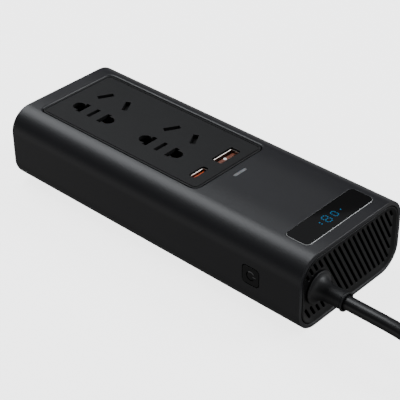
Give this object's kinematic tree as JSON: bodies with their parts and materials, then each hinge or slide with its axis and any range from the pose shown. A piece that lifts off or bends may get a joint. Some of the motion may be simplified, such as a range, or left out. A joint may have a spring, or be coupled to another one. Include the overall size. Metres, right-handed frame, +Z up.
{
  "type": "power inverter",
  "caption": "Slim car power inverter: black sleeve with mains outlets and USB ports on top, display, side power button, end grilles and a lead to a lighter plug.",
  "frame": {"origin": "on the surface that the feet stand on, under the middle of the sleeve", "axes": "+X along the sleeve towards the end that the lead leaves, +Z up through the outlet panel, +Y away from the power button"},
  "size_m": [0.3424, 0.0874, 0.0375],
  "materials": {
    "housing_abs": "fine moulded texture, satin black",
    "panel_abs": "fine moulded texture, matte black",
    "inner_nylon": "moulded, matte",
    "rubber_feet": "matte",
    "brass_contact": "stamped",
    "usb_shell_steel": "drawn, nickel plated",
    "white_insulator": "moulded",
    "orange_insulator": "moulded",
    "circuit_laminate": "solder mask",
    "light_diffuser": "frosted grey",
    "display_acrylic": "smoked, polished",
    "display_lamps": "lit blue segments",
    "component_epoxy": "moulded",
    "screw_steel": "zinc plated",
    "ferrite": "pressed and fired",
    "enamelled_copper": null,
    "capacitor_sleeve": "shrink sleeve",
    "heat_sink_aluminium": "extruded",
    "cord_pvc": "extruded and moulded PVC, satin",
    "lead_black": "extruded PVC",
    "lead_red": "extruded PVC",
    "plug_abs": "moulded, satin",
    "nickel_plate": "nickel plated brass",
    "fuse_ceramic": "ceramic tube"
  },
  "bodies": {
    "housing": {"board_screw_1": "screw_steel", "board_screw_2": "screw_steel", "board_screw_3": "screw_steel", "board_screw_4": "screw_steel", "chassis_tray": "inner_nylon", "cord_hank": "cord_pvc", "cord_lead": "cord_pvc", "cord_tail": "cord_pvc", "cord_tie": "inner_nylon", "display_board": "circuit_laminate", "display_module": "display_lamps", "display_window": "display_acrylic", "earth_contact_1": "brass_contact", "earth_contact_2": "brass_contact", "fan_frame": "inner_nylon", "front_grille_cap": "housing_abs", "heat_sink": "heat_sink_aluminium", "housing_sleeve": "housing_abs", "input_capacitor": "capacitor_sleeve", "input_lead_negative": "lead_black", "input_lead_positive": "lead_red", "line_contact_1": "brass_contact", "line_contact_2": "brass_contact", "main_board": "circuit_laminate", "neutral_contact_1": "brass_contact", "neutral_contact_2": "brass_contact", "outlet_base_1": "inner_nylon", "outlet_base_2": "inner_nylon", "output_capacitor": "capacitor_sleeve", "plug_body": "plug_abs", "plug_boot": "cord_pvc", "plug_nose_ring": "plug_abs", "power_switch": "component_epoxy", "power_transistor_1": "component_epoxy", "power_transistor_2": "component_epoxy", "rear_grille_cap": "housing_abs", "rubber_foot_1": "rubber_feet", "rubber_foot_2": "rubber_feet", "rubber_foot_3": "rubber_feet", "rubber_foot_4": "rubber_feet", "socket_panel": "panel_abs", "status_lamp": "white_insulator", "status_light_pipe": "light_diffuser", "strain_relief": "cord_pvc", "switch_board": "circuit_laminate", "transformer_core": "ferrite", "transformer_winding": "enamelled_copper", "usb_a_shell": "usb_shell_steel", "usb_a_tongue": "white_insulator", "usb_board": "circuit_laminate", "usb_c_shell": "usb_shell_steel", "usb_c_tongue": "orange_insulator"},
    "power_button_key": {"power_button": "housing_abs"},
    "shutter_1": {"safety_shutter_1": "inner_nylon"},
    "shutter_2": {"safety_shutter_2": "inner_nylon"},
    "fan": {"fan_rotor": "inner_nylon"},
    "plug_tip_and_fuse": {"plug_tip": "nickel_plate", "plug_fuse": "fuse_ceramic"},
    "plug_left_spring": {"plug_left_contact": "nickel_plate"},
    "plug_right_spring": {"plug_right_contact": "nickel_plate"}
  },
  "joints": [
    {"name": "power_button_press", "type": "slide", "parent": "housing", "child": "power_button_key", "axis": [0, 1, 0], "range_m": [0, 0.0008], "stiffness_N_per_m": 600, "springref_m": -0.0006},
    {"name": "shutter_1_slide", "type": "slide", "parent": "housing", "child": "shutter_1", "axis": [1, 0, 0], "range_m": [0, 0.003], "stiffness_N_per_m": 150, "springref_m": -0.002},
    {"name": "shutter_2_slide", "type": "slide", "parent": "housing", "child": "shutter_2", "axis": [1, 0, 0], "range_m": [0, 0.003], "stiffness_N_per_m": 150, "springref_m": -0.002},
    {"name": "fan_spin", "type": "hinge", "parent": "housing", "child": "fan", "pos_m": [-0.0804, 0, 0.01845], "axis": [1, 0, 0], "continuous": true},
    {"name": "plug_tip_press", "type": "slide", "parent": "housing", "child": "plug_tip_and_fuse", "axis": [1, 0, 0], "range_m": [0, 0.003], "stiffness_N_per_m": 800, "springref_m": -0.003},
    {"name": "plug_left_contact_press", "type": "slide", "parent": "housing", "child": "plug_left_spring", "axis": [0, 1, 0], "range_m": [0, 0.0012], "stiffness_N_per_m": 1500, "springref_m": -0.0008},
    {"name": "plug_right_contact_press", "type": "slide", "parent": "housing", "child": "plug_right_spring", "axis": [0, -1, 0], "range_m": [0, 0.0012], "stiffness_N_per_m": 1500, "springref_m": -0.0008}
  ]
}
